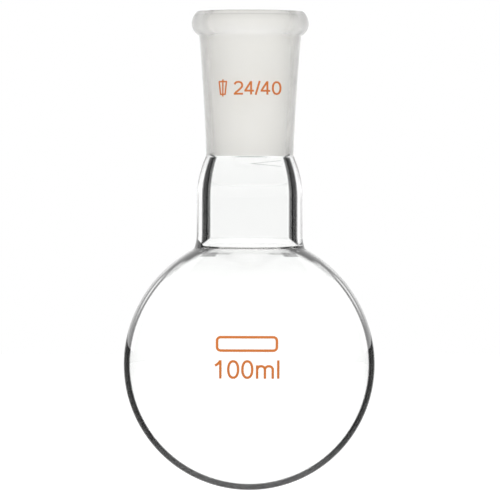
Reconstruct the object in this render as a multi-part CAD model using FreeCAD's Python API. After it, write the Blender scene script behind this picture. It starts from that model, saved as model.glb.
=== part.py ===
"""Round-bottom boiling flask, 100 ml size, with one 24/40 ground socket.

The flask is blown as one piece of borosilicate glass: a thin bulb, a thick straight neck, a
shoulder drawn in above it, and a tapered joint that is ground inside and ends in a rolled bead.
Its wall is drawn here as half a section and turned about the axis. Lengths are in millimetres
and angles in degrees. The origin is the lowest point of the bulb, and the neck stands along +Z.
"""

import FreeCAD
import Part

import math
import os

# Bulb: a sphere below, and above its equator a flank blown to a slightly larger radius
bulb_diameter = 69.7
bulb_wall = 1.6
flank_radius = 36.8
flank_start_angle = 10.5

# Root of the neck, where it opens out and runs into the bulb
root_swell = 0.7
root_length = 3.9
root_fillet = 0.8
inner_root_fillet = 4.0

# Neck, from its root to the shoulder
neck_diameter = 29.4
neck_wall = 2.9
neck_length = 13.95

# Shoulder, which draws the neck in to the foot of the joint
shoulder_length = 11.85
shoulder_fillet = 2.0
inner_shoulder_fillet = 2.0

# Ground socket: the standard 24/40 cone
socket_bore = 24.0
socket_length = 40.0
socket_taper = 0.1
mouth_chamfer = 0.4

# Outside of the joint, drawn in a little between its foot and the bead
joint_foot_wall = 2.1
joint_top_wall = 2.5
joint_waist = 0.2

# Rolled bead, and the flat land on top of it
bead_height = 6.75
bead_swell = 2.05
bead_drop = 3.45
bead_fillet = 0.5
land_width = 2.6
land_edge_fillet = 0.5

# Two ends of edges closer than this are the same corner
tolerance = 1e-6


def point(radius, height):
    """A point of the half section, which lies in the XZ plane."""
    return FreeCAD.Vector(radius, 0, height)


def line(start, end):
    return Part.LineSegment(start, end).toShape()


def arc(start, middle, end):
    return Part.Arc(start, middle, end).toShape()


def on_circle(centre, radius, angle):
    """The point of a section circle at an angle above the horizontal."""
    turn = math.radians(angle)
    return centre + point(radius * math.cos(turn), radius * math.sin(turn))


def upright_arc(start, end):
    """The arc that leaves start parallel to the axis and ends at end."""
    chord = end - start
    lean = math.atan2(chord.x, abs(chord.z))
    bow = point(-abs(chord.z), math.copysign(chord.x, chord.z)).normalize()
    middle = (start + end) / 2 + bow * (chord.Length / 2 * math.tan(lean / 2))
    return arc(start, middle, end)


def bulb(wall, top_radius):
    """The bulb's sphere and flank, inset by a wall, from the axis up to top_radius."""
    sphere_radius = bulb_diameter / 2
    sphere_centre = point(0, sphere_radius)
    flank_centre = on_circle(sphere_centre, sphere_radius - flank_radius, flank_start_angle)
    sphere_inset = sphere_radius - wall
    flank_inset = flank_radius - wall
    top_angle = math.degrees(math.acos((top_radius - flank_centre.x) / flank_inset))
    sphere_middle_angle = (flank_start_angle - 90) / 2
    flank_middle_angle = (flank_start_angle + top_angle) / 2
    lowest = point(0, wall)
    join = on_circle(sphere_centre, sphere_inset, flank_start_angle)
    top = on_circle(flank_centre, flank_inset, top_angle)
    sphere = arc(lowest, on_circle(sphere_centre, sphere_inset, sphere_middle_angle), join)
    flank = arc(join, on_circle(flank_centre, flank_inset, flank_middle_angle), top)
    return [sphere, flank], top


def ends_at(edge, corner):
    return any(end.Point.isEqual(corner, tolerance) for end in edge.Vertexes)


def with_rounded_corner(edges, corner, radius):
    """The same edges, with a fillet where two neighbours meet at a corner."""
    section_plane = Part.Plane(FreeCAD.Vector(0, 0, 0), FreeCAD.Vector(0, 1, 0))
    first, second = [i for i, edge in enumerate(edges) if ends_at(edge, corner)]
    rounding = Part.ChFi2d.FilletAlgo()
    rounding.init(edges[first], edges[second], section_plane)
    rounding.perform(radius)
    fillet, before, after = rounding.result(corner)
    return edges[:first] + [before, fillet, after] + edges[second + 1:]


neck_radius = neck_diameter / 2
bore_radius = neck_radius - neck_wall
mouth_radius = socket_bore / 2
foot_radius = mouth_radius - socket_taper * socket_length / 2

# Outside, from the root of the neck up
outer_bulb, root_corner = bulb(0, neck_radius + root_swell)
neck_base = point(neck_radius, root_corner.z + root_length)
neck_top = point(neck_radius, root_corner.z + neck_length)
foot_level = neck_top.z + shoulder_length
mouth_level = foot_level + socket_length
foot_corner = point(foot_radius + joint_foot_wall, foot_level)
bead_bore_radius = mouth_radius - socket_taper * bead_height / 2
bead_corner = point(bead_bore_radius + joint_top_wall, mouth_level - bead_height)
bead_crest = point(bead_corner.x + bead_swell, mouth_level - bead_drop)
land_corner = point(mouth_radius + land_width, mouth_level)

# Inside, from the mouth down
land_bore = point(mouth_radius + mouth_chamfer, mouth_level)
cone_mouth = point(mouth_radius - socket_taper * mouth_chamfer / 2, mouth_level - mouth_chamfer)
cone_foot = point(foot_radius, foot_level)
bore_top = point(bore_radius, neck_top.z)
inner_bulb, bore_corner = bulb(bulb_wall, bore_radius)


def outside():
    """The section's outer edge, from the lowest point of the bulb to the flat land."""
    waist = Part.BezierCurve()
    waist_pole = (foot_corner + bead_corner) / 2 - point(2 * joint_waist, 0)
    waist.setPoles([foot_corner, waist_pole, bead_corner])
    edges = list(outer_bulb)
    edges.append(upright_arc(neck_base, root_corner))
    edges.append(line(neck_base, neck_top))
    edges.append(upright_arc(neck_top, foot_corner))
    edges.append(waist.toShape())
    edges.append(upright_arc(bead_crest, bead_corner))
    edges.append(upright_arc(bead_crest, land_corner))
    edges.append(line(land_corner, land_bore))
    edges = with_rounded_corner(edges, root_corner, root_fillet)
    edges = with_rounded_corner(edges, foot_corner, shoulder_fillet)
    edges = with_rounded_corner(edges, bead_corner, bead_fillet)
    return with_rounded_corner(edges, land_corner, land_edge_fillet)


def inside():
    """The section's inner edge, from the mouth's chamfer to the bottom of the bulb."""
    edges = [line(land_bore, cone_mouth), line(cone_mouth, cone_foot)]
    edges.append(upright_arc(bore_top, cone_foot))
    edges.append(line(bore_top, bore_corner))
    edges.extend(reversed(inner_bulb))
    edges = with_rounded_corner(edges, cone_foot, inner_shoulder_fillet)
    return with_rounded_corner(edges, bore_corner, inner_root_fillet)


def flask():
    on_axis = line(point(0, 0), point(0, bulb_wall))
    outline = Part.Wire(Part.__sortEdges__(outside() + inside() + [on_axis]))
    glass = Part.Face(outline).revolve(FreeCAD.Vector(0, 0, 0), FreeCAD.Vector(0, 0, 1), 360)
    return glass.Solids[0]


os.makedirs("parts", exist_ok=True)
body = flask()
body.exportStep("parts/flask.step")
print("flask: height %.2f mm, glass %.0f mm3" % (mouth_level, body.Volume))
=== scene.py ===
"""Round-bottom boiling flask with a ground socket, dressed as clear and ground borosilicate glass.

The file is laid out as an add-on. One operator blows the flask from its half section, one fires
the orange enamel marks on it, and one sets up the stage. Lengths are in metres, in the frame of
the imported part: the origin is the lowest point of the bulb and the neck stands along +Z.
"""

import math

import bmesh
import bpy
from bpy.props import FloatProperty, FloatVectorProperty, IntProperty, PointerProperty, StringProperty
from mathutils import Matrix, Vector


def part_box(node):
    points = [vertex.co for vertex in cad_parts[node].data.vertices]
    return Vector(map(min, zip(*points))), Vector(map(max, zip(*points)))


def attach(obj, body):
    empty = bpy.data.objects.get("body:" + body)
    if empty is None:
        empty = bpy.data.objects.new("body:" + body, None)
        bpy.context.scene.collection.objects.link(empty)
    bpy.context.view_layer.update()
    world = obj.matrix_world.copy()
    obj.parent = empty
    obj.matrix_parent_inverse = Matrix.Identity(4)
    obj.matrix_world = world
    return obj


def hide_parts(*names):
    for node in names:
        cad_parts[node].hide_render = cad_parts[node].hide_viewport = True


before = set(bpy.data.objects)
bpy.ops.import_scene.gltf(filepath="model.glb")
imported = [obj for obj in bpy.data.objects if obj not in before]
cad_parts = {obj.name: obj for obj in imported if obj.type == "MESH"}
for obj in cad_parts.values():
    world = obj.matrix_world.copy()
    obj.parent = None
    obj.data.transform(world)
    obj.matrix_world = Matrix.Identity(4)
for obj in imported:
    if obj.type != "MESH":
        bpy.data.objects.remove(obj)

bl_info = {
    "name": "Boiling flask",
    "version": (1, 0, 0),
    "blender": (4, 5, 0),
    "location": "View3D > Sidebar > Flask",
    "description": "Blows a round-bottom flask, fires its enamel marks and lights it",
    "category": "Add Mesh",
}

MM = 0.001
LOWEST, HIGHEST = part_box("flask")
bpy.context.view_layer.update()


def linear(hex_colour):
    """An sRGB hex colour as linear red, green, blue and an alpha of 1."""
    channels = [int(hex_colour[i : i + 2], 16) / 255 for i in (1, 3, 5)]
    return [c / 12.92 if c <= 0.04045 else ((c + 0.055) / 1.055) ** 2.4 for c in channels] + [1.0]


def length(name, description, millimetres):
    """A length setting, shown in scene units."""
    return FloatProperty(
        name=name, description=description, default=millimetres * MM, unit="LENGTH", precision=5
    )


def degrees(name, description, value):
    """An angle setting, given in degrees."""
    return FloatProperty(
        name=name, description=description, default=math.radians(value), unit="ROTATION"
    )


def colour(name, description, hex_colour):
    """A colour setting."""
    return FloatVectorProperty(
        name=name, description=description, default=linear(hex_colour), size=4, subtype="COLOR"
    )


class GlassSizes(bpy.types.PropertyGroup):
    """The half section of the flask, from the bottom of the bulb to the mouth."""

    bulb_diameter: FloatProperty(
        name="Bulb diameter", description="Outside", default=HIGHEST.x - LOWEST.x, unit="LENGTH"
    )
    bulb_wall: length("Bulb wall", "Thickness of the blown bulb", 1.6)
    flank_radius: length("Flank radius", "Bulb's curve above its equator", 36.8)
    flank_start: degrees("Flank start", "Angle above the equator", 10.5)
    root_swell: length("Root swell", "How far the root opens out beyond the neck", 0.7)
    root_length: length("Root length", "Height of the opened root", 3.9)
    root_fillet: length("Root fillet", "Radius outside, where root meets bulb", 0.8)
    inner_root_fillet: length("Inner root fillet", "Radius where the bore meets the bulb", 0.6)
    neck_diameter: length("Neck diameter", "Outside", 29.4)
    neck_wall: length("Neck wall", "Thickness of the thick neck", 2.9)
    neck_length: length("Neck length", "From the root to the shoulder", 13.95)
    shoulder_length: length("Shoulder length", "Height of the drawn-in shoulder", 11.85)
    shoulder_fillet: length("Shoulder fillet", "Radius at the foot of the joint", 2.0)
    socket_bore: length("Socket bore", "Large end of the ground cone", 24.0)
    socket_length: length("Socket length", "Length of the ground cone", 40.0)
    socket_taper: FloatProperty(name="Socket taper", description="Diameter per length", default=0.1)
    mouth_chamfer: length("Mouth chamfer", "Edge broken at the mouth", 0.4)
    stone_run: length("Stone run", "How far the ground surface runs on below the cone", 0.45)
    foot_wall: length("Foot wall", "Wall at the foot of the joint", 2.1)
    top_wall: length("Top wall", "Wall under the bead", 2.5)
    waist: length("Waist", "How far the joint is drawn in between its ends", 0.2)
    bead_height: length("Bead height", "From the bead's corner to the mouth", 6.75)
    bead_swell: length("Bead swell", "How far the bead stands out", 2.05)
    bead_drop: length("Bead drop", "From the mouth down to the bead's crest", 3.45)
    bead_fillet: length("Bead fillet", "Radius under the bead", 0.5)
    land_width: length("Land width", "Flat ring on top of the bead", 2.6)
    land_fillet: length("Land fillet", "Radius at the rim of the flat ring", 0.5)
    turns: IntProperty(name="Turns", description="Steps round the axis", default=192)
    step: length("Step", "Longest step along a curve of the section", 0.9)


class MarkSettings(bpy.types.PropertyGroup):
    """The enamel marks fired on the joint and on the bulb."""

    joint_text: StringProperty(name="Joint size", description="Written with 0 1 2 4 /", default="24/40")
    joint_text_height: length("Joint figure height", "Height of the figures", 3.95)
    joint_text_width: length("Joint figures width", "Width seen from the front", 13.15)
    joint_text_level: length("Joint figure level", "Middle of the figures above the origin", 111.25)
    joint_text_side: length("Joint figures side", "Middle of the figures right of the axis", 2.08)
    joint_line: length("Joint line", "Width of the figures' strokes", 0.55)
    sign_height: length("Taper sign height", "Drawing sign for a cone", 4.7)
    sign_line: length("Taper sign line", "Width of its strokes", 0.42)
    sign_width: length("Taper sign width", "Drawing sign for a cone", 2.4)
    sign_side: length("Taper sign side", "Middle of the sign right of the axis", -7.5)
    bulb_text: StringProperty(name="Volume", description="Written with 0 1 2 4 m l", default="100ml")
    bulb_text_height: length("Volume height", "Height of the figures", 5.15)
    bulb_text_width: length("Volume width", "Width seen from the front", 17.75)
    bulb_text_level: length("Volume level", "Middle of the figures above the bulb's equator", -0.8)
    bulb_side: length("Volume side", "Middle of the bulb's marks right of the axis", -0.62)
    bulb_line: length("Volume line", "Width of the figures' strokes", 0.7)
    field_width: length("Field width", "Write-on field's outline", 17.0)
    field_height: length("Field height", "Write-on field's outline", 4.4)
    field_level: length("Field level", "Middle of the field above the bulb's equator", 6.2)
    field_line: length("Field line", "Width of the field's outline", 0.7)
    enamel_film: length("Enamel film", "Thickness of the fired enamel", 0.03)


class FinishColours(bpy.types.PropertyGroup):
    """Colours a user would change."""

    enamel: colour("Enamel", "Fired orange enamel", "#CA6C28")
    ground: colour("Ground glass", "Powdery tint of the ground surface", "#FEFDFA")
    floor: colour("Floor", "Plain pale floor", "#F4F4F4")


class StageSettings(bpy.types.PropertyGroup):
    """Camera, floor and backdrop."""

    camera_distance: length("Camera distance", "From the flask's axis", 1800.0)
    camera_height: length("Camera height", "Above the origin", 66.58)
    camera_offset: length("Camera offset", "Sideways from the flask's axis", 0.125)
    camera_roll: degrees("Camera roll", "Tilt of the picture, to the right at the top", 0.17)
    picture_width: length("Picture width", "Width of the view at the flask's axis", 138.7)
    floor_drop: length("Floor drop", "Floor below the bulb", 60.0)
    floor_size: length("Floor size", "Side of the floor", 12000.0)
    backdrop_radius: length("Backdrop radius", "White arc behind the flask, seen only mirrored", 200.0)
    backdrop_spread: degrees("Backdrop spread", "How far it reaches to each side", 55.0)
    backdrop_foot: length("Backdrop foot", "Its lower edge above the origin", 50.0)
    backdrop_height: length("Backdrop height", "From its lower edge to its upper", 220.0)


def add_node(tree, kind, inputs=None, **settings):
    """Adds a shader node, sets its settings, and sets or links its inputs by name or number.

    A node that is given as an input is linked from the first of its outputs that is in use.
    """
    made = tree.nodes.new("ShaderNode" + kind)
    stops = settings.pop("stops", None)
    for name, value in settings.items():
        setattr(made, name, value)
    if stops:
        elements = made.color_ramp.elements
        while len(elements) < len(stops):
            elements.new(1.0)
        for element, (place, grey) in zip(elements, stops):
            element.position = place
            element.color = (grey, grey, grey, 1.0)
    for key, value in (inputs or {}).items():
        if isinstance(value, bpy.types.Node):
            value = next(output for output in value.outputs if output.enabled)
        if isinstance(value, bpy.types.NodeSocket):
            tree.links.new(value, made.inputs[key])
        else:
            made.inputs[key].default_value = value
    return made


def new_material(name):
    """An empty node material, and the tree that it is built in."""
    material = bpy.data.materials.new(name)
    material.use_nodes = True
    material.node_tree.nodes.clear()
    return material, material.node_tree


def draw_line(bm, start, radius, height):
    """Draws a straight stretch of the half section and returns its end."""
    end = bmesh.ops.extrude_vert_indiv(bm, verts=[start])["verts"][0]
    end.co = (radius, 0, height)
    return end


def draw_arc(bm, start, centre, angle, step):
    """Draws an arc about a centre, counterclockwise with +X to the right, and returns its end."""
    radius = (Vector(centre) - Vector((start.co.x, start.co.z))).length
    steps = max(3, math.ceil(radius * abs(angle) / step))
    swept = bmesh.ops.spin(
        bm, geom=[start], cent=(centre[0], 0, centre[1]), axis=(0, -1, 0), angle=angle, steps=steps
    )
    return next(item for item in swept["geom_last"] if isinstance(item, bmesh.types.BMVert))


def upright_arc(level_end, other_end):
    """Centre and angle of the arc that is upright at level_end and runs to other_end."""
    run = other_end[0] - level_end[0]
    rise = other_end[1] - level_end[1]
    radius = (run * run + rise * rise) / (2 * abs(run))
    centre = (level_end[0] + math.copysign(radius, run), level_end[1])
    return centre, 2 * math.atan(abs(run / rise))


def round_corner(bm, corner, radius):
    """Puts a fillet on a corner of the half section."""
    a, b = [(edge.other_vert(corner).co - corner.co).normalized() for edge in corner.link_edges]
    setback = radius / math.tan(a.angle(b) / 2)
    bmesh.ops.bevel(
        bm,
        geom=[corner],
        offset=setback,
        offset_type="OFFSET",
        segments=6,
        profile=0.5,
        affect="VERTICES",
        material=-1,
    )


def flank(sizes):
    """Centre of the flank's arc in the half section."""
    sphere_radius = sizes.bulb_diameter / 2
    reach = sphere_radius - sizes.flank_radius
    return reach * math.cos(sizes.flank_start), sphere_radius + reach * math.sin(sizes.flank_start)


def levels(sizes):
    """Heights of the root corner, neck base, neck top, foot of the joint and mouth."""
    centre = flank(sizes)
    root_radius = sizes.neck_diameter / 2 + sizes.root_swell
    root = centre[1] + math.sqrt(sizes.flank_radius**2 - (root_radius - centre[0]) ** 2)
    neck_top = root + sizes.neck_length
    foot = neck_top + sizes.shoulder_length
    return root, root + sizes.root_length, neck_top, foot, foot + sizes.socket_length


def draw_outside(bm, sizes):
    """Draws the outer half section, from the bottom of the bulb up to the flat land."""
    step = sizes.step
    root, neck_base, neck_top, foot, mouth = levels(sizes)
    sphere_radius = sizes.bulb_diameter / 2
    flank_centre = flank(sizes)
    neck_radius = sizes.neck_diameter / 2
    mouth_radius = sizes.socket_bore / 2
    foot_radius = mouth_radius - sizes.socket_taper * sizes.socket_length / 2 + sizes.foot_wall
    bead_radius = mouth_radius - sizes.socket_taper * sizes.bead_height / 2 + sizes.top_wall
    bead_level = mouth - sizes.bead_height
    crest = (bead_radius + sizes.bead_swell, mouth - sizes.bead_drop)

    bottom = bm.verts.new((0, 0, 0))
    join = draw_arc(bm, bottom, (0, sphere_radius), math.pi / 2 + sizes.flank_start, step)
    flank_top = math.acos((neck_radius + sizes.root_swell - flank_centre[0]) / sizes.flank_radius)
    root_corner = draw_arc(bm, join, flank_centre, flank_top - sizes.flank_start, step)
    centre, angle = upright_arc((neck_radius, neck_base), (root_corner.co.x, root))
    base = draw_arc(bm, root_corner, centre, -angle, step)
    top = draw_line(bm, base, neck_radius, neck_top)
    centre, angle = upright_arc((neck_radius, neck_top), (foot_radius, foot))
    foot_corner = draw_arc(bm, top, centre, angle, step)

    chord = Vector((bead_radius - foot_radius, bead_level - foot))
    waist_radius = chord.length_squared / (8 * sizes.waist)
    outwards = Vector((chord.y, -chord.x)).normalized()
    middle = Vector((foot_radius, foot)) + chord / 2
    centre = middle + outwards * (waist_radius - sizes.waist)
    angle = 2 * math.asin(chord.length / 2 / waist_radius)
    bead_corner = draw_arc(bm, foot_corner, centre, -angle, step)

    centre, angle = upright_arc(crest, (bead_radius, bead_level))
    fine = step / 2
    crest_vert = draw_arc(bm, bead_corner, centre, angle, fine)
    centre, angle = upright_arc(crest, (mouth_radius + sizes.land_width, mouth))
    land_corner = draw_arc(bm, crest_vert, centre, angle, fine)
    land = draw_line(bm, land_corner, mouth_radius + sizes.mouth_chamfer, mouth)
    round_corner(bm, root_corner, sizes.root_fillet)
    round_corner(bm, foot_corner, sizes.shoulder_fillet)
    round_corner(bm, bead_corner, sizes.bead_fillet)
    round_corner(bm, land_corner, sizes.land_fillet)
    return land


def draw_inside(bm, sizes, land):
    """Draws the inner half section on from the land, down to the bottom of the bulb."""
    step = sizes.step
    neck_top, foot, mouth = levels(sizes)[2:]
    sphere_radius = sizes.bulb_diameter / 2
    flank_centre = flank(sizes)
    bore_radius = sizes.neck_diameter / 2 - sizes.neck_wall
    mouth_radius = sizes.socket_bore / 2
    foot_radius = mouth_radius - sizes.socket_taper * sizes.socket_length / 2
    chamfer = sizes.mouth_chamfer

    cone_mouth = draw_line(bm, land, mouth_radius - sizes.socket_taper * chamfer / 2, mouth - chamfer)
    cone_foot = draw_line(bm, cone_mouth, foot_radius, foot)
    centre, angle = upright_arc((bore_radius, neck_top), (foot_radius, foot))
    run_angle = sizes.stone_run / (bore_radius - centre[0])
    stone_end = draw_arc(bm, cone_foot, centre, -run_angle, step)
    bore_top = draw_arc(bm, stone_end, centre, run_angle - angle, step)
    fillet = sizes.inner_root_fillet
    reach = sizes.flank_radius - sizes.bulb_wall + fillet
    fillet_run = bore_radius + fillet - flank_centre[0]
    fillet_level = flank_centre[1] + math.sqrt(reach**2 - fillet_run**2)
    bore_foot = draw_line(bm, bore_top, bore_radius, fillet_level)
    flank_top = math.acos(fillet_run / reach)
    centre = (bore_radius + fillet, fillet_level)
    flank_edge = draw_arc(bm, bore_foot, centre, flank_top, step / 2)
    join = draw_arc(bm, flank_edge, flank_centre, sizes.flank_start - flank_top, step)
    draw_arc(bm, join, (0, sphere_radius), -(math.pi / 2 + sizes.flank_start), step)


FLAME_POLISHED, BORE, GROUND = range(3)


def finish_of(face, sizes):
    """Which of the three glass finishes a face of the flask has."""
    foot, mouth = levels(sizes)[3:]
    middle = face.calc_center_median()
    heart = Vector((0, 0, max(middle.z, sizes.bulb_diameter / 2)))
    outside = face.normal.dot(middle - heart) > 0
    if not outside and middle.z > foot - sizes.stone_run:
        return GROUND
    land = face.normal.z > 0.99 and middle.z > mouth - sizes.mouth_chamfer
    if land:
        return GROUND
    return FLAME_POLISHED if outside else BORE


SMOOTH = {"interpolation_type": "SMOOTHSTEP"}
TONES = {"data_type": "RGBA"}
DIMMING = {"data_type": "RGBA", "blend_type": "MULTIPLY"}
CLEAR = (1.0, 1.0, 1.0, 1.0)
BLACK = (0.0, 0.0, 0.0, 1.0)
# Greys of painted shade and of painted glints laid on the glass
PATCH_SHADE_GREY = (0.44, 0.44, 0.44, 1.0)
HOOK_SHADE_GREY = (0.3, 0.3, 0.3, 1.0)
GLINT_GREY = (0.85, 0.85, 0.85, 1.0)
HAIRLINE_SHADE_GREY = (0.74, 0.74, 0.74, 1.0)
BOROSILICATE_IOR = 1.473
# Half the width of the soft seam between the left side and the right
SEAM = 0.5 * MM

# Below, a Map Range node's inputs 0 to 4 are its value, the range it runs through and the two
# results, and a Mix node's colours are 6 and 7. Rises and depths are in millimetres.

# Stops of place and painted shade across the bulb, from its middle out to its rim: low down, at
# the side, under the neck and at its root
BULB_RIMS = (
    [
        (0.0, 1.0), (0.672, 1.0), (0.686, 0.8), (0.698, 0.25), (0.709, 0.03), (0.735, 0.015),
        (0.756, 0.01), (0.773, 0.05), (0.79, 0.05), (0.81, 0.01), (0.831, 0.05), (0.86, 0.12),
        (0.93, 0.3),
    ],
    [
        (0.0, 1.0), (0.665, 1.0), (0.678, 0.9), (0.689, 0.45), (0.699, 0.06), (0.712, 0.0),
        (0.722, 0.12), (0.736, 0.62), (0.75, 0.95), (0.764, 0.7), (0.779, 0.2), (0.79, 0.02),
        (0.805, 0.02), (0.824, 0.25), (0.85, 0.5), (0.93, 0.6),
    ],
    [
        (0.0, 1.0), (0.61, 1.0), (0.639, 0.8), (0.661, 0.6), (0.68, 0.66), (0.698, 0.66),
        (0.714, 0.4), (0.728, 0.04), (0.74, 0.0), (0.763, 0.0), (0.777, 0.03), (0.796, 0.18),
        (0.816, 0.45), (0.84, 0.7), (0.93, 0.6),
    ],
    [
        (0.0, 1.0), (0.585, 1.0), (0.609, 0.89), (0.629, 0.68), (0.649, 0.33), (0.663, 0.12),
        (0.675, 0.02), (0.7, 0.01), (0.75, 0.02), (0.783, 0.09), (0.822, 0.26), (0.874, 0.67),
        (0.93, 1.0),
    ],
)
# Stops of share and painted shade across the neck and joint, from the middle line at 0 to the side at 1
ROOT_LINE = [
    (0.0, 0.97), (0.25, 0.95), (0.34, 0.7), (0.45, 0.72), (0.6, 0.62), (0.68, 0.6), (0.82, 0.6),
    (0.9, 0.9), (1.0, 1.0),
]
NECK_BELOW_BANDS = [(0.0, 0.91), (0.4, 0.9), (0.6, 0.86), (1.0, 0.86)]
NECK_BANDS = [
    (0.0, 0.9), (0.7, 0.905), (0.726, 0.96), (0.744, 0.6), (0.756, 0.2), (0.79, 0.14),
    (0.797, 0.01), (0.812, 0.02), (0.83, 0.07), (0.862, 0.075), (0.88, 0.11), (0.895, 0.5),
    (0.912, 1.0), (0.935, 0.97), (0.955, 0.9), (0.965, 0.62), (0.978, 0.62), (0.99, 1.0),
]
STONE_LINE = [(0.0, 0.46), (0.2, 0.52), (0.38, 0.82), (0.5, 1.0)]
JOINT_SIDES = [
    (0.0, 0.957), (0.4, 0.949), (0.6, 0.931), (0.735, 0.912), (0.776, 0.9), (0.818, 0.896),
    (0.83, 0.903), (0.838, 0.945), (0.848, 0.99), (0.859, 0.965), (0.87, 0.92), (0.9, 0.885),
    (0.915, 0.765), (0.97, 0.707), (0.985, 0.885), (1.0, 1.0),
]
# Stops of depth and painted shade below the mouth, in centimetres
JOINT_TOP = [
    (0.0, 0.71), (0.035, 0.745), (0.05, 0.81), (0.09, 0.81), (0.1, 0.7), (0.12, 0.7),
    (0.135, 0.812), (0.19, 0.86), (0.3, 0.92), (0.42, 0.935), (0.5, 0.95), (0.6, 0.965),
    (0.65, 0.96), (0.72, 0.95), (0.8, 0.965), (1.0, 0.99),
]


def where(tree, *steps):
    """The product of smooth steps, each running from 0 to 1 between two limits of a value."""
    product = None
    for value, start, end in steps:
        step = add_node(tree, "MapRange", {0: value, 1: start, 2: end}, **SMOOTH)
        if product is None:
            product = step
        else:
            product = add_node(tree, "Math", {0: product, 1: step}, operation="MULTIPLY")
    return product


def within(value, low, high, soft):
    """The two steps that hold a value between low and high, with soft ends."""
    return (value, low - soft, low), (value, high + soft, high)


def dimmed(tree, tone, *shades):
    """A tone dimmed by each shade in turn."""
    for shade in shades:
        tone = add_node(tree, "Mix", {0: 1.0, 6: tone, 7: shade}, **DIMMING)
    return tone


def share_round_tube(tree, place):
    """How far from its middle line the view meets an upright tube, as a share of its radius.

    It comes from how far the tube's radial and tangential directions face the view.
    """
    across, along = add_node(tree, "SeparateXYZ", {0: place}).outputs[:2]
    radial = add_node(tree, "CombineXYZ", {0: across, 1: along})
    backwards = add_node(tree, "Math", {0: along, 1: -1.0}, operation="MULTIPLY")
    tangent = add_node(tree, "CombineXYZ", {0: backwards, 1: across})
    cosines = []
    for direction in (radial, tangent):
        unit = add_node(tree, "VectorMath", {0: direction}, operation="NORMALIZE")
        facing = add_node(tree, "LayerWeight", {"Blend": 0.5, "Normal": unit}).outputs["Facing"]
        cosines.append(add_node(tree, "Math", {0: 1.0, 1: facing}, operation="SUBTRACT"))
    angle = add_node(tree, "Math", {0: cosines[1], 1: cosines[0]}, operation="ARCTAN2")
    return add_node(tree, "Math", {0: angle}, operation="SINE")


def bulb_tone(tree, rise, share):
    """Painted shade on the bulb's rim: two dark lines low down, parted and paler the nearer the neck.

    The rise is the height above the root of the neck, in millimetres.
    """
    facing = add_node(tree, "LayerWeight", {"Blend": 0.5}).outputs["Facing"]
    low, middle, high, top = [
        add_node(tree, "ValToRGB", {0: facing}, stops=stops) for stops in BULB_RIMS
    ]
    # The lowest part of the painted dark rim is never quite black
    least = 0.1
    lifted = add_node(tree, "Math", {0: low, 1: least}, operation="MAXIMUM")
    tone = low
    passages = (
        (-50.0, -63.0, lifted),
        (-23.0, -12.5, middle),
        (-9.5, -5.8, high),
        (-4.6, -2.9, top),
    )
    for start, end, following in passages:
        passed = where(tree, (rise, start, end))
        tone = add_node(tree, "Mix", {0: passed, 6: tone, 7: following}, **TONES)
    # Painted highlights: two bright glints at each side, right under the root
    spot = where(tree, *within(share, 0.715, 0.735, 0.02), *within(rise, -1.9, -1.3, 0.3))
    upper = where(tree, *within(share, 0.79, 0.815, 0.02), *within(rise, -0.75, -0.5, 0.25))
    spots = add_node(tree, "Math", {0: spot, 1: upper}, operation="MAXIMUM")
    return add_node(tree, "Mix", {0: spots, 6: tone, 7: GLINT_GREY}, **TONES)


def root_tone(tree, rise, share, across):
    """Painted shade at the root of the neck: a soft grey line round it, grey patches, and a dark wedge
    at each side.
    """
    line = add_node(tree, "ValToRGB", {0: share}, stops=ROOT_LINE)
    on_line = where(tree, *within(rise, -1.55, -1.25, 0.2))
    tone = add_node(tree, "Mix", {0: on_line, 6: CLEAR, 7: line}, **TONES)
    # Painted shade: grey patches under the line
    patch = where(tree, *within(share, 0.53, 0.69, 0.05), *within(rise, -2.1, -1.2, 0.3))
    tone = add_node(tree, "Mix", {0: patch, 6: tone, 7: PATCH_SHADE_GREY}, **TONES)
    # The painted shade wedge rises outwards, dark on the left and faint on the right
    slope, start = 13.0, -9.95
    wedge_top = add_node(tree, "Math", {0: share, 1: slope, 2: start}, operation="MULTIPLY_ADD")
    below_top = add_node(tree, "Math", {0: wedge_top, 1: rise}, operation="SUBTRACT")
    wedge = where(tree, (below_top, 0.0, 0.4), (rise, 0.55, 0.85))
    darkness = add_node(tree, "MapRange", {0: across, 1: SEAM, 2: -SEAM, 3: 0.2, 4: 1.0}, **SMOOTH)
    shade_wedge = add_node(tree, "Math", {0: wedge, 1: darkness}, operation="MULTIPLY")
    return add_node(tree, "Mix", {0: shade_wedge, 6: tone, 7: BLACK}, **TONES)


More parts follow.
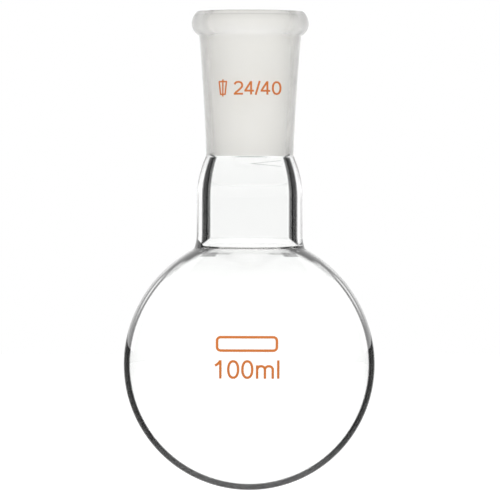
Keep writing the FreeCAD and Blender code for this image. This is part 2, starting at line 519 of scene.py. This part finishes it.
def neck_tone(tree, rise, share, across):
    """Painted shade on the thick neck: a dark band down each side, where the view is bent aside."""
    # The bands end on a slant, lower at the neck's edge than inside
    slant, end_level, end_share, inner_share = 13.3, 2.75, 0.75, 0.72
    outer = add_node(tree, "Math", {0: share, 1: inner_share}, operation="MAXIMUM")
    band_end = add_node(
        tree,
        "Math",
        {0: outer, 1: -slant, 2: end_level + slant * end_share},
        operation="MULTIPLY_ADD",
    )
    above_end = add_node(tree, "Math", {0: rise, 1: band_end}, operation="SUBTRACT")
    below_bands = add_node(tree, "ValToRGB", {0: share}, stops=NECK_BELOW_BANDS)
    bands = add_node(tree, "ValToRGB", {0: share}, stops=NECK_BANDS)
    in_bands = where(tree, (above_end, -0.15, 0.25))
    tone = add_node(tree, "Mix", {0: in_bands, 6: below_bands, 7: bands}, **TONES)
    # Under the shoulder the outermost edge is clear again
    edge = where(tree, (share, 0.945, 0.96), (rise, 13.0, 17.0))
    tone = add_node(tree, "Mix", {0: edge, 6: tone, 7: CLEAR}, **TONES)
    # Painted shade: a little darker under the shoulder, whose walls bend the view down to the ground
    shaded = add_node(tree, "MapRange", {0: rise, 1: 16.9, 2: 18.1, 3: 1.0, 4: 0.918}, **SMOOTH)
    tone = dimmed(tree, tone, shaded)
    # Painted shade: the left edge is painted black towards the root, and the right one hardly at all
    faint, strong = 0.1425, 0.95
    darkness = add_node(
        tree, "MapRange", {0: across, 1: SEAM, 2: -SEAM, 3: faint, 4: strong}, **SMOOTH
    )
    at_edge = where(tree, (share, 0.966, 0.982), (rise, 12.0, 1.5))
    black_edge = add_node(tree, "Math", {0: at_edge, 1: darkness}, operation="MULTIPLY")
    return add_node(tree, "Mix", {0: black_edge, 6: tone, 7: BLACK}, **TONES)


def joint_tone(tree, share, below_mouth):
    """Painted shade on the joint: the skin over the ground wall is painted darker to its sides and
    under the mouth.
    """
    sides = add_node(tree, "ValToRGB", {0: share}, stops=JOINT_SIDES)
    centimetres = add_node(tree, "Math", {0: below_mouth, 1: 0.1}, operation="MULTIPLY")
    top = add_node(tree, "ValToRGB", {0: centimetres}, stops=JOINT_TOP)
    # Painted light lifts the lower joint a little, and painted shade dims its foot
    raised = add_node(
        tree, "MapRange", {0: below_mouth, 1: 14.0, 2: 30.0, 3: 1.0, 4: 1.04}, **SMOOTH
    )
    lowered = add_node(
        tree, "MapRange", {0: below_mouth, 1: 34.0, 2: 41.0, 3: 0.0, 4: 0.048}, **SMOOTH
    )
    foot = add_node(tree, "Math", {0: raised, 1: lowered}, operation="SUBTRACT")
    return dimmed(tree, sides, top, foot)


def stone_line(tree, above_stone, share):
    """A thin grey line painted round the end of the ground surface, and a short dark hook of painted
    shade at each side.
    """
    line = add_node(tree, "ValToRGB", {0: share}, stops=STONE_LINE)
    on_line = where(tree, *within(above_stone, -0.14, 0.06, 0.1))
    tone = add_node(tree, "Mix", {0: on_line, 6: CLEAR, 7: line}, **TONES)
    # Painted shade: the hooks rise outwards towards each side
    slope, start = 6.7, -5.4
    hook_level = add_node(tree, "Math", {0: share, 1: slope, 2: start}, operation="MULTIPLY_ADD")
    from_hook = add_node(tree, "Math", {0: above_stone, 1: hook_level}, operation="SUBTRACT")
    hook = where(tree, *within(from_hook, -0.12, 0.12, 0.25), *within(share, 0.79, 0.9, 0.04))
    return dimmed(tree, tone, add_node(tree, "Mix", {0: hook, 6: CLEAR, 7: HOOK_SHADE_GREY}, **TONES))


def refracted_hairlines(tree, across, along, up, foot):
    """Two faint grey hairlines of painted shade below the joint, standing in for a refraction, that
    part to the right.
    """
    tip_side, tip_drop, run = 0.6, 2.4, 7.6
    lean, parting = 0.014, 0.102
    scaled = {"operation": "MULTIPLY_ADD"}
    from_tip = add_node(tree, "Math", {0: across, 1: 1 / MM, 2: -tip_side}, **scaled)
    above_tip = add_node(tree, "Math", {0: up, 1: 1 / MM, 2: tip_drop - foot / MM}, **scaled)
    leaning = add_node(tree, "Math", {0: from_tip, 1: -lean, 2: above_tip}, **scaled)
    from_middle = add_node(tree, "Math", {0: leaning}, operation="ABSOLUTE")
    from_hairline = add_node(tree, "Math", {0: from_tip, 1: -parting, 2: from_middle}, **scaled)
    hairlines = where(
        tree,
        *within(from_hairline, -0.05, 0.05, 0.1),
        *within(from_tip, 0.0, run, 0.6),
        (along, 0.0, -0.1 * MM),
    )
    return add_node(tree, "Mix", {0: hairlines, 6: CLEAR, 7: HAIRLINE_SHADE_GREY}, **TONES)


def wavy_surface(tree, place, wave_length):
    """The surface of drawn glass, which is very slightly wavy over about a centimetre."""
    waves = add_node(tree, "TexNoise", {"Vector": place, "Scale": 1 / wave_length, "Detail": 1.0})
    return add_node(tree, "Bump", {"Height": waves, "Strength": 0.05, "Distance": 0.3 * MM})


def finish_glass(tree, tint, roughness, surface, clearness=1.0):
    """Gives the tree borosilicate glass of a tint, roughness, surface and clearness."""
    glass = add_node(
        tree,
        "BsdfPrincipled",
        {
            "Base Color": tint,
            "Roughness": roughness,
            "IOR": BOROSILICATE_IOR,
            "Transmission Weight": clearness,
            "Normal": surface,
        },
    )
    add_node(tree, "OutputMaterial", {"Surface": glass})


def flame_polished_glass(sizes):
    """Borosilicate tube, flame polished outside.

    Seen against a white ground it is clear, and its edges are painted dark where the wall bends the
    view away from the white: a thin ring round the bulb, and two bands down the thick neck. These
    painted shades, and the painted glints and grey lines with them, are laid in its colour.
    """
    material, tree = new_material("Borosilicate, flame polished")
    root, *_, foot, mouth = levels(sizes)
    stone_end = foot - sizes.stone_run
    bead = sizes.bead_height / MM
    place = add_node(tree, "TexCoord").outputs["Object"]
    across, along, up = add_node(tree, "SeparateXYZ", {0: place}).outputs
    # Heights in millimetres above the root and the end of the ground surface, and below the mouth
    rise, above_stone, below_mouth = [
        add_node(tree, "Math", {0: up, 1: way / MM, 2: -way * zero / MM}, operation="MULTIPLY_ADD")
        for way, zero in ((1, root), (1, stone_end), (-1, mouth))
    ]
    share = share_round_tube(tree, place)
    at_root = root_tone(tree, rise, share, across)
    neck = dimmed(tree, neck_tone(tree, rise, share, across), at_root)
    # Painted shade: the bulb is painted a little greyer towards the neck
    painted_haze = add_node(tree, "MapRange", {0: rise, 1: -12.0, 2: -2.0, 3: 1.0, 4: 0.88}, **SMOOTH)
    bulb = dimmed(tree, bulb_tone(tree, rise, share), at_root, painted_haze)
    in_neck = where(tree, (rise, -0.1, 0.3))
    tone = add_node(tree, "Mix", {0: in_neck, 6: bulb, 7: neck}, **TONES)
    in_joint = where(tree, (above_stone, -0.3, 0.1))
    joint = joint_tone(tree, share, below_mouth)
    tone = add_node(tree, "Mix", {0: in_joint, 6: tone, 7: joint}, **TONES)
    hairlines = refracted_hairlines(tree, across, along, up, foot)
    tone = dimmed(tree, tone, stone_line(tree, above_stone, share), hairlines)
    # Only the skin turned to the view carries the painted shade, not the far side seen through it
    leaving = add_node(tree, "NewGeometry").outputs["Backfacing"]
    tone = add_node(tree, "Mix", {0: leaving, 6: tone, 7: CLEAR}, **TONES)
    # The joint's skin is a little dull, and the bead's more so, from the flame and the stone
    dull = add_node(tree, "MapRange", {0: above_stone, 1: -0.3, 2: 0.5, 3: 0.0, 4: 0.14}, **SMOOTH)
    matt = add_node(
        tree, "MapRange", {0: below_mouth, 1: bead + 0.5, 2: bead - 0.5, 3: 0.0, 4: 0.12}, **SMOOTH
    )
    roughness = add_node(tree, "Math", {0: matt, 1: dull}, operation="ADD")
    finish_glass(tree, dimmed(tree, tone, tone), roughness, wavy_surface(tree, place, 9 * MM))
    return material


def bore_glass():
    """The same glass inside, where it is blown and never touched: as clear, and a little wavy."""
    material, tree = new_material("Borosilicate, blown inside")
    place = add_node(tree, "TexCoord").outputs["Object"]
    finish_glass(tree, linear("#FDFEFD"), 0.0, wavy_surface(tree, place, 7 * MM))
    return material


def ground_glass(colours):
    """Glass ground to a standard cone with wet grit: an even, powdery, faintly warm white.

    The grit leaves fine pits and, round the cone, faint rings from the turning.
    """
    material, tree = new_material("Borosilicate, ground")
    # The real pits are finer than 0.1 mm. They and the rings are drawn as coarse as they need to show
    grit = 0.35 * MM
    ring_spacing = 0.8 * MM
    cloud_size = 6 * MM
    flattened = (0.05, 0.05, 1.0)
    place = add_node(tree, "TexCoord").outputs["Object"]
    pits = add_node(tree, "TexNoise", {"Vector": place, "Scale": 1 / grit, "Detail": 3.0})
    stretched = add_node(tree, "Mapping", {"Vector": place, "Scale": flattened})
    rings = add_node(
        tree, "TexNoise", {"Vector": stretched, "Scale": 1 / ring_spacing, "Detail": 2.0}
    )
    cloud = add_node(tree, "TexNoise", {"Vector": place, "Scale": 1 / cloud_size, "Detail": 3.0})
    tint = add_node(tree, "Mix", {0: cloud, 6: colours.ground, 7: linear("#F7F6F1")}, **TONES)
    roughness = add_node(tree, "MapRange", {"Value": pits, "To Min": 0.5, "To Max": 0.72})
    height = add_node(tree, "Math", {0: rings, 1: 0.5, 2: pits}, operation="MULTIPLY_ADD")
    surface = add_node(tree, "Bump", {"Height": height, "Strength": 0.2, "Distance": 0.05 * MM})
    finish_glass(tree, tint, roughness, surface, clearness=0.75)
    return material


def fired_enamel(colours):
    """Orange enamel, screen printed and fired: glossy, thin, and a little uneven in depth."""
    material, tree = new_material("Orange enamel, fired")
    # The screen's mesh is finer, and its mottle is drawn as coarse as it needs to show
    mottle_size = 0.4 * MM
    place = add_node(tree, "TexCoord").outputs["Object"]
    mottle = add_node(tree, "TexNoise", {"Vector": place, "Scale": 1 / mottle_size, "Detail": 3.0})
    ink = add_node(tree, "Mix", {0: mottle, 6: colours.enamel, 7: linear("#D47E3A")}, **TONES)
    surface = add_node(tree, "Bump", {"Height": mottle, "Strength": 0.15, "Distance": 0.02 * MM})
    enamel = add_node(
        tree,
        "BsdfPrincipled",
        {"Base Color": ink, "Roughness": 0.35, "IOR": 1.5, "Normal": surface},
    )
    add_node(tree, "OutputMaterial", {"Surface": enamel})
    return material


def new_object(name, bm, materials):
    """A finished piece at the origin, from a bmesh that is then freed."""
    mesh = bpy.data.meshes.new(name)
    bm.to_mesh(mesh)
    bm.free()
    for material in materials:
        mesh.materials.append(material)
    piece = bpy.data.objects.new(name, mesh)
    bpy.context.scene.collection.objects.link(piece)
    return piece


class FLASK_OT_blow(bpy.types.Operator):
    """Blow the flask: its half section turned about the axis, with its three finishes"""

    bl_idname = "flask.blow"
    bl_label = "Blow the flask"

    def execute(self, context):
        sizes = context.scene.flask_glass
        bm = bmesh.new()
        draw_inside(bm, sizes, draw_outside(bm, sizes))
        bmesh.ops.spin(
            bm,
            geom=bm.verts[:] + bm.edges[:],
            cent=(0, 0, 0),
            axis=(0, 0, 1),
            angle=2 * math.pi,
            steps=sizes.turns,
            use_merge=True,
        )
        merge_distance = 0.001 * MM
        bmesh.ops.remove_doubles(bm, verts=bm.verts[:], dist=merge_distance)
        bmesh.ops.recalc_face_normals(bm, faces=bm.faces[:])
        for face in bm.faces:
            face.material_index = finish_of(face, sizes)
            face.smooth = True
        sharp = math.radians(30)
        for edge in bm.edges:
            edge.smooth = edge.calc_face_angle(math.pi) < sharp
        glass = [
            flame_polished_glass(sizes),
            bore_glass(),
            ground_glass(context.scene.flask_colours),
        ]
        flask = new_object("flask_glass", bm, glass)
        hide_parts("flask")
        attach(flask, "root")
        return {"FINISHED"}


def oval(middle, half_width, half_height, start=90.0, end=450.0):
    """Points along a slightly squared oval, between two angles in degrees."""
    points = []
    steps, squaring = 32, 0.9
    for index in range(steps + 1):
        angle = math.radians(start + (end - start) * index / steps)
        across, up = math.cos(angle), math.sin(angle)
        x = middle[0] + half_width * math.copysign(abs(across) ** squaring, across)
        points.append((x, middle[1] + half_height * math.copysign(abs(up) ** squaring, up)))
    return points


# Each figure's advance and the middle lines of its strokes, in a box one high
FIGURES = {
    "0": (0.777, [oval((0.387, 0.5), 0.27, 0.445)]),
    "1": (0.777, [[(0.459, 0.0), (0.459, 1.0)], [(0.445, 0.96), (0.33, 0.81), (0.165, 0.7)]]),
    "2": (
        0.777,
        [
            oval((0.365, 0.695), 0.27, 0.25, 168.0, -28.0)
            + [(0.53, 0.47), (0.38, 0.325), (0.2, 0.18), (0.115, 0.06)],
            [(0.042, 0.055), (0.702, 0.055)],
        ],
    ),
    "4": (
        0.777,
        [
            [(0.5, 0.0), (0.5, 1.0)],
            [(0.018, 0.285), (0.7, 0.285)],
            [(0.07, 0.29), (0.47, 0.95)],
        ],
    ),
    "/": (0.388, [[(0.05, -0.02), (0.335, 1.02)]]),
    "m": (
        1.163,
        [
            [(0.15, 0.0), (0.15, 0.73)],
            oval((0.365, 0.47), 0.215, 0.21, 170.0, 0.0) + [(0.58, 0.0)],
            oval((0.795, 0.47), 0.215, 0.21, 170.0, 0.0) + [(1.01, 0.0)],
        ],
    ),
    "l": (0.31, [[(0.15, 0.0), (0.15, 1.0)]]),
}
# The drawing sign for a cone: its outline, wide end up, and its axis
TAPER_SIGN = [
    [(0.0, 0.87), (0.5, 0.87)],
    [(0.02, 0.9), (0.11, 0.1)],
    [(0.48, 0.9), (0.39, 0.1)],
    [(0.08, 0.13), (0.42, 0.13)],
    [(0.25, 0.0), (0.25, 1.0)],
]


def strokes_of(text):
    """The middle lines of all strokes of a line of figures."""
    strokes = []
    place = 0.0
    for figure in text:
        advance, lines = FIGURES[figure]
        strokes += [[(place + x, y) for x, y in line] for line in lines]
        place += advance
    return strokes


def drawn(strokes, line_share, width, height, depth):
    """Strokes of one even width as a flat bmesh of exactly that width and height, centred."""
    curve = bpy.data.curves.new("lettering", "CURVE")
    curve.dimensions = "3D"
    curve.bevel_depth = line_share / 2
    curve.extrude = line_share
    curve.bevel_resolution = 1
    curve.use_fill_caps = True
    for line in strokes:
        closed = (Vector(line[0]) - Vector(line[-1])).length < 0.001
        points = line[:-1] if closed else line
        spline = curve.splines.new("POLY")
        spline.points.add(len(points) - 1)
        spline.use_cyclic_u = closed
        for point, (x, y) in zip(spline.points, points):
            point.co = (x, y, 0, 1)
    holder = bpy.data.objects.new("lettering", curve)
    mesh = bpy.data.meshes.new_from_object(holder)
    bm = bmesh.new()
    bm.from_mesh(mesh)
    bpy.data.objects.remove(holder)
    bpy.data.curves.remove(curve)
    bpy.data.meshes.remove(mesh)
    return fitted(bm, width, height, depth)


def fitted(bm, width, height, depth):
    """The flat shape centred, and stretched to a width, a height and a thickness."""
    for axis, size in enumerate((width, height, depth)):
        low = min(vert.co[axis] for vert in bm.verts)
        high = max(vert.co[axis] for vert in bm.verts)
        for vert in bm.verts:
            vert.co[axis] = (vert.co[axis] - (low + high) / 2) * size / (high - low)
    return bm


def sliced(bm, width, height, slice_width):
    """Cuts a flat shape into narrow strips and bands, so that it can follow a curved wall."""
    for axis, extent in enumerate((width, height)):
        normal = [0, 0, 0]
        normal[axis] = 1
        count = int(extent / slice_width)
        for index in range(1, count):
            place = [0, 0, 0]
            place[axis] = extent * (index / count - 0.5)
            bmesh.ops.bisect_plane(
                bm,
                geom=bm.verts[:] + bm.edges[:] + bm.faces[:],
                dist=0.0001 * MM,
                plane_co=place,
                plane_no=normal,
            )
    return bm


def joint_radius(sizes, level):
    """Outer radius of the joint at a level."""
    foot, mouth = levels(sizes)[3:]
    mouth_radius = sizes.socket_bore / 2
    foot_radius = mouth_radius - sizes.socket_taper * sizes.socket_length / 2 + sizes.foot_wall
    bead_radius = mouth_radius - sizes.socket_taper * sizes.bead_height / 2 + sizes.top_wall
    share = (level - foot) / (mouth - sizes.bead_height - foot)
    return foot_radius + (bead_radius - foot_radius) * share - 4 * sizes.waist * share * (1 - share)


# The film is laid a little thicker than it is, so that it clears the facets of the glass
FILM_RISE = 1.6


def lay_on_joint(bm, sizes, level, side):
    """Lays a flat mark on the front of the joint, as a transfer pressed on from the front."""
    for vert in bm.verts:
        height = level + vert.co.y
        radius = joint_radius(sizes, height)
        angle = math.asin((side + vert.co.x) / radius)
        radius += vert.co.z * FILM_RISE
        vert.co = (radius * math.sin(angle), -radius * math.cos(angle), height)


def lay_on_bulb(bm, sizes, level, side):
    """Lays a flat mark on the front of the bulb, at a level above its equator."""
    bulb_radius = sizes.bulb_diameter / 2
    for vert in bm.verts:
        radius = bulb_radius + vert.co.z * FILM_RISE
        rise = (level + vert.co.y) / bulb_radius
        flat = radius * math.cos(rise)
        angle = math.asin((side + vert.co.x) / (bulb_radius * math.cos(rise)))
        vert.co = (
            flat * math.sin(angle),
            -flat * math.cos(angle),
            bulb_radius + radius * math.sin(rise),
        )


def field_mesh(marks, depth):
    """The outline of a write-on field, with rounded corners."""
    corner_share = 0.3
    bm = bmesh.new()
    bmesh.ops.create_grid(bm, x_segments=1, y_segments=1, size=0.5)
    for vert in bm.verts:
        vert.co.x *= marks.field_width
        vert.co.y *= marks.field_height
    bmesh.ops.bevel(
        bm,
        geom=bm.verts[:],
        offset=marks.field_height * corner_share,
        offset_type="OFFSET",
        segments=8,
        profile=0.5,
        affect="VERTICES",
        material=-1,
    )
    bmesh.ops.inset_region(
        bm, faces=bm.faces[:], thickness=marks.field_line, use_even_offset=True, use_boundary=True
    )
    inner = max(bm.faces, key=lambda face: face.calc_area())
    bmesh.ops.delete(bm, geom=[inner], context="FACES")
    raised = bmesh.ops.extrude_face_region(bm, geom=bm.faces[:])["geom"]
    tops = [item for item in raised if isinstance(item, bmesh.types.BMVert)]
    bmesh.ops.translate(bm, verts=tops, vec=(0, 0, depth))
    bmesh.ops.translate(bm, verts=bm.verts[:], vec=(0, 0, -depth / 2))
    bmesh.ops.recalc_face_normals(bm, faces=bm.faces[:])
    return bm


class FLASK_OT_fire_marks(bpy.types.Operator):
    """Fire the orange enamel marks on the joint and on the bulb"""

    bl_idname = "flask.fire_marks"
    bl_label = "Fire the marks"

    def execute(self, context):
        sizes = context.scene.flask_glass
        marks = context.scene.flask_marks
        enamel = fired_enamel(context.scene.flask_colours)
        film = marks.enamel_film
        slice_width = 0.4 * MM

        width, height = marks.joint_text_width, marks.joint_text_height
        joint = drawn(strokes_of(marks.joint_text), marks.joint_line / height, width, height, film)
        sliced(joint, width, height, slice_width)
        lay_on_joint(joint, sizes, marks.joint_text_level, marks.joint_text_side)
        width, height = marks.sign_width, marks.sign_height
        sign = drawn(TAPER_SIGN, marks.sign_line / height, width, height, film)
        sliced(sign, width, height, slice_width)
        lay_on_joint(sign, sizes, marks.joint_text_level, marks.sign_side)
        width, height = marks.bulb_text_width, marks.bulb_text_height
        volume = drawn(strokes_of(marks.bulb_text), marks.bulb_line / height, width, height, film)
        sliced(volume, width, height, slice_width)
        lay_on_bulb(volume, sizes, marks.bulb_text_level, marks.bulb_side)
        field = field_mesh(marks, film)
        sliced(field, marks.field_width, marks.field_height, slice_width)
        lay_on_bulb(field, sizes, marks.field_level, marks.bulb_side)
        pieces = (
            ("joint_size", joint),
            ("taper_sign", sign),
            ("volume", volume),
            ("write_on_field", field),
        )
        for name, mark in pieces:
            piece = new_object(name, mark, [enamel])
            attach(piece, "root")
        return {"FINISHED"}


def studio_world():
    """White for the view and for what the glass shows behind it, plain grey light elsewhere.

    Mirrored at a glancing angle, the edge of the glass shows a white ground straight behind it and
    dark on both sides. White seen through the glass makes up for what its walls throw back.
    """
    world = bpy.data.worlds.new("Studio")
    bpy.context.scene.world = world
    world.use_nodes = True
    tree = world.node_tree
    tree.nodes.clear()
    path = add_node(tree, "LightPath").outputs
    direction = add_node(tree, "TexCoord").outputs["Generated"]
    along, rise = add_node(tree, "SeparateXYZ", {0: direction}).outputs[1:]
    sky = add_node(tree, "MapRange", {0: rise, 1: 0.45, 2: 0.9, 3: 0.08, 4: 0.5}, **SMOOTH)
    ground = add_node(tree, "MapRange", {0: along, 1: 0.96, 2: 1.0})
    mirrored = add_node(tree, "Math", {0: sky, 1: ground}, operation="MAXIMUM")
    strength, through_glass = 0.6, 1.08
    rays = {
        "Is Glossy Ray": mirrored,
        "Is Transmission Ray": through_glass,
        "Is Camera Ray": 1.0,
    }
    for kind, seen in rays.items():
        strength = add_node(tree, "Mix", {0: path[kind], 2: strength, 3: seen}, data_type="FLOAT")
    light = add_node(tree, "Background", {"Color": (1, 1, 1, 1), "Strength": strength})
    add_node(tree, "OutputWorld", {"Surface": light})


def floor_material(colours):
    """Matt pale board. It is lifted to white for the view and for glass, and keeps its shadow."""
    material, tree = new_material("Pale matt board")
    path = add_node(tree, "LightPath").outputs
    through_glass = add_node(
        tree,
        "Math",
        {0: path["Is Glossy Ray"], 1: path["Is Transmission Ray"]},
        operation="MAXIMUM",
    )
    # Near the flask the lamps alone make the board white, so the shadow stays
    shadow_reach, white_reach, far_lift, glass_lift = 0.15, 1.3, 0.5, 0.6
    place = add_node(tree, "TexCoord").outputs["Object"]
    distance = add_node(tree, "VectorMath", {0: place}, operation="LENGTH")
    far = add_node(
        tree,
        "MapRange",
        {0: distance, 1: shadow_reach, 2: white_reach, 3: 0.0, 4: far_lift},
        **SMOOTH,
    )
    direct = add_node(tree, "Math", {0: path["Is Camera Ray"], 1: far}, operation="MULTIPLY")
    lift = add_node(
        tree, "Math", {0: through_glass, 1: glass_lift, 2: direct}, operation="MULTIPLY_ADD"
    )
    board = add_node(
        tree,
        "BsdfPrincipled",
        {
            "Base Color": colours.floor,
            "Roughness": 0.9,
            "Specular IOR Level": 0.0,
            "Emission Color": (1, 1, 1, 1),
            "Emission Strength": lift,
        },
    )
    add_node(tree, "OutputMaterial", {"Surface": board})
    return material


def soft_lamp(name, place, target, size, power):
    """A large square soft lamp that looks at a target."""
    lamp = bpy.data.lights.new(name, "AREA")
    lamp.shape = "SQUARE"
    lamp.size = size
    lamp.energy = power
    holder = bpy.data.objects.new(name, lamp)
    holder.location = place
    holder.rotation_euler = (Vector(target) - Vector(place)).to_track_quat("-Z", "Y").to_euler()
    holder.visible_glossy = False
    holder.visible_transmission = False
    bpy.context.scene.collection.objects.link(holder)


def curved_backdrop(stage):
    """A white arc of cloth behind the flask, seen only where the glass mirrors it."""
    material, tree = new_material("White backdrop cloth")
    cloth = add_node(tree, "Emission", {"Color": (1, 1, 1, 1), "Strength": 1.0})
    add_node(tree, "OutputMaterial", {"Surface": cloth})
    bm = bmesh.new()
    foot = bm.verts.new((stage.backdrop_radius, 0, stage.backdrop_foot))
    draw_line(bm, foot, stage.backdrop_radius, stage.backdrop_foot + stage.backdrop_height)
    side = Matrix.Rotation(math.pi / 2 - stage.backdrop_spread, 3, "Z")
    bmesh.ops.rotate(bm, verts=bm.verts[:], cent=(0, 0, 0), matrix=side)
    bmesh.ops.spin(
        bm,
        geom=bm.verts[:] + bm.edges[:],
        axis=(0, 0, 1),
        angle=2 * stage.backdrop_spread,
        steps=36,
    )
    backdrop = new_object("backdrop", bm, [material])
    backdrop.visible_camera = False
    backdrop.visible_diffuse = False
    backdrop.visible_transmission = False
    backdrop.visible_shadow = False


class FLASK_OT_set_stage(bpy.types.Operator):
    """Set up the camera, the pale floor, the white ground and backdrop, and the soft lamps"""

    bl_idname = "flask.set_stage"
    bl_label = "Set the stage"

    def execute(self, context):
        stage = context.scene.flask_stage
        sensor_width = 36.0
        camera = bpy.data.cameras.new("Camera")
        camera.sensor_width = sensor_width
        camera.lens = sensor_width * stage.camera_distance / stage.picture_width
        camera.clip_end = 2.5 * stage.floor_size
        holder = bpy.data.objects.new("Camera", camera)
        holder.location = (stage.camera_offset, -stage.camera_distance, stage.camera_height)
        holder.rotation_euler = (math.pi / 2, -stage.camera_roll, 0)
        context.scene.collection.objects.link(holder)
        context.scene.camera = holder

        bm = bmesh.new()
        bmesh.ops.create_grid(bm, x_segments=1, y_segments=1, size=stage.floor_size / 2)
        bmesh.ops.translate(bm, verts=bm.verts[:], vec=(0, 0, -stage.floor_drop))
        floor = new_object("floor", bm, [floor_material(context.scene.flask_colours)])
        floor.visible_glossy = False
        curved_backdrop(stage)
        neck_root = (0, 0, 0.06)
        soft_lamp("Overhead", place=(-0.3, -0.2, 0.9), target=neck_root, size=0.7, power=5.0)
        soft_lamp("Front", place=(0.7, -1.2, 0.5), target=neck_root, size=0.6, power=6.0)
        studio_world()
        context.scene.view_settings.view_transform = "Standard"
        return {"FINISHED"}


class FLASK_PT_panel(bpy.types.Panel):
    """Lists the flask's operators and settings"""

    bl_label = "Boiling flask"
    bl_idname = "FLASK_PT_panel"
    bl_space_type = "VIEW_3D"
    bl_region_type = "UI"
    bl_category = "Flask"

    def draw(self, context):
        layout = self.layout
        for operator in OPERATORS:
            layout.operator(operator.bl_idname)
        for group in ("flask_glass", "flask_marks", "flask_colours", "flask_stage"):
            settings = getattr(context.scene, group)
            box = layout.box()
            for name in settings.__annotations__:
                box.prop(settings, name)


SETTINGS = {
    "flask_glass": GlassSizes,
    "flask_marks": MarkSettings,
    "flask_colours": FinishColours,
    "flask_stage": StageSettings,
}
OPERATORS = [FLASK_OT_blow, FLASK_OT_fire_marks, FLASK_OT_set_stage]


def register():
    for group, settings in SETTINGS.items():
        bpy.utils.register_class(settings)
        setattr(bpy.types.Scene, group, PointerProperty(type=settings))
    for operator in OPERATORS:
        bpy.utils.register_class(operator)
    bpy.utils.register_class(FLASK_PT_panel)


def unregister():
    bpy.utils.unregister_class(FLASK_PT_panel)
    for operator in reversed(OPERATORS):
        bpy.utils.unregister_class(operator)
    for group, settings in SETTINGS.items():
        delattr(bpy.types.Scene, group)
        bpy.utils.unregister_class(settings)


def main():
    register()
    bpy.ops.flask.blow()
    bpy.ops.flask.fire_marks()
    bpy.ops.flask.set_stage()


if __name__ == "__main__":
    main()
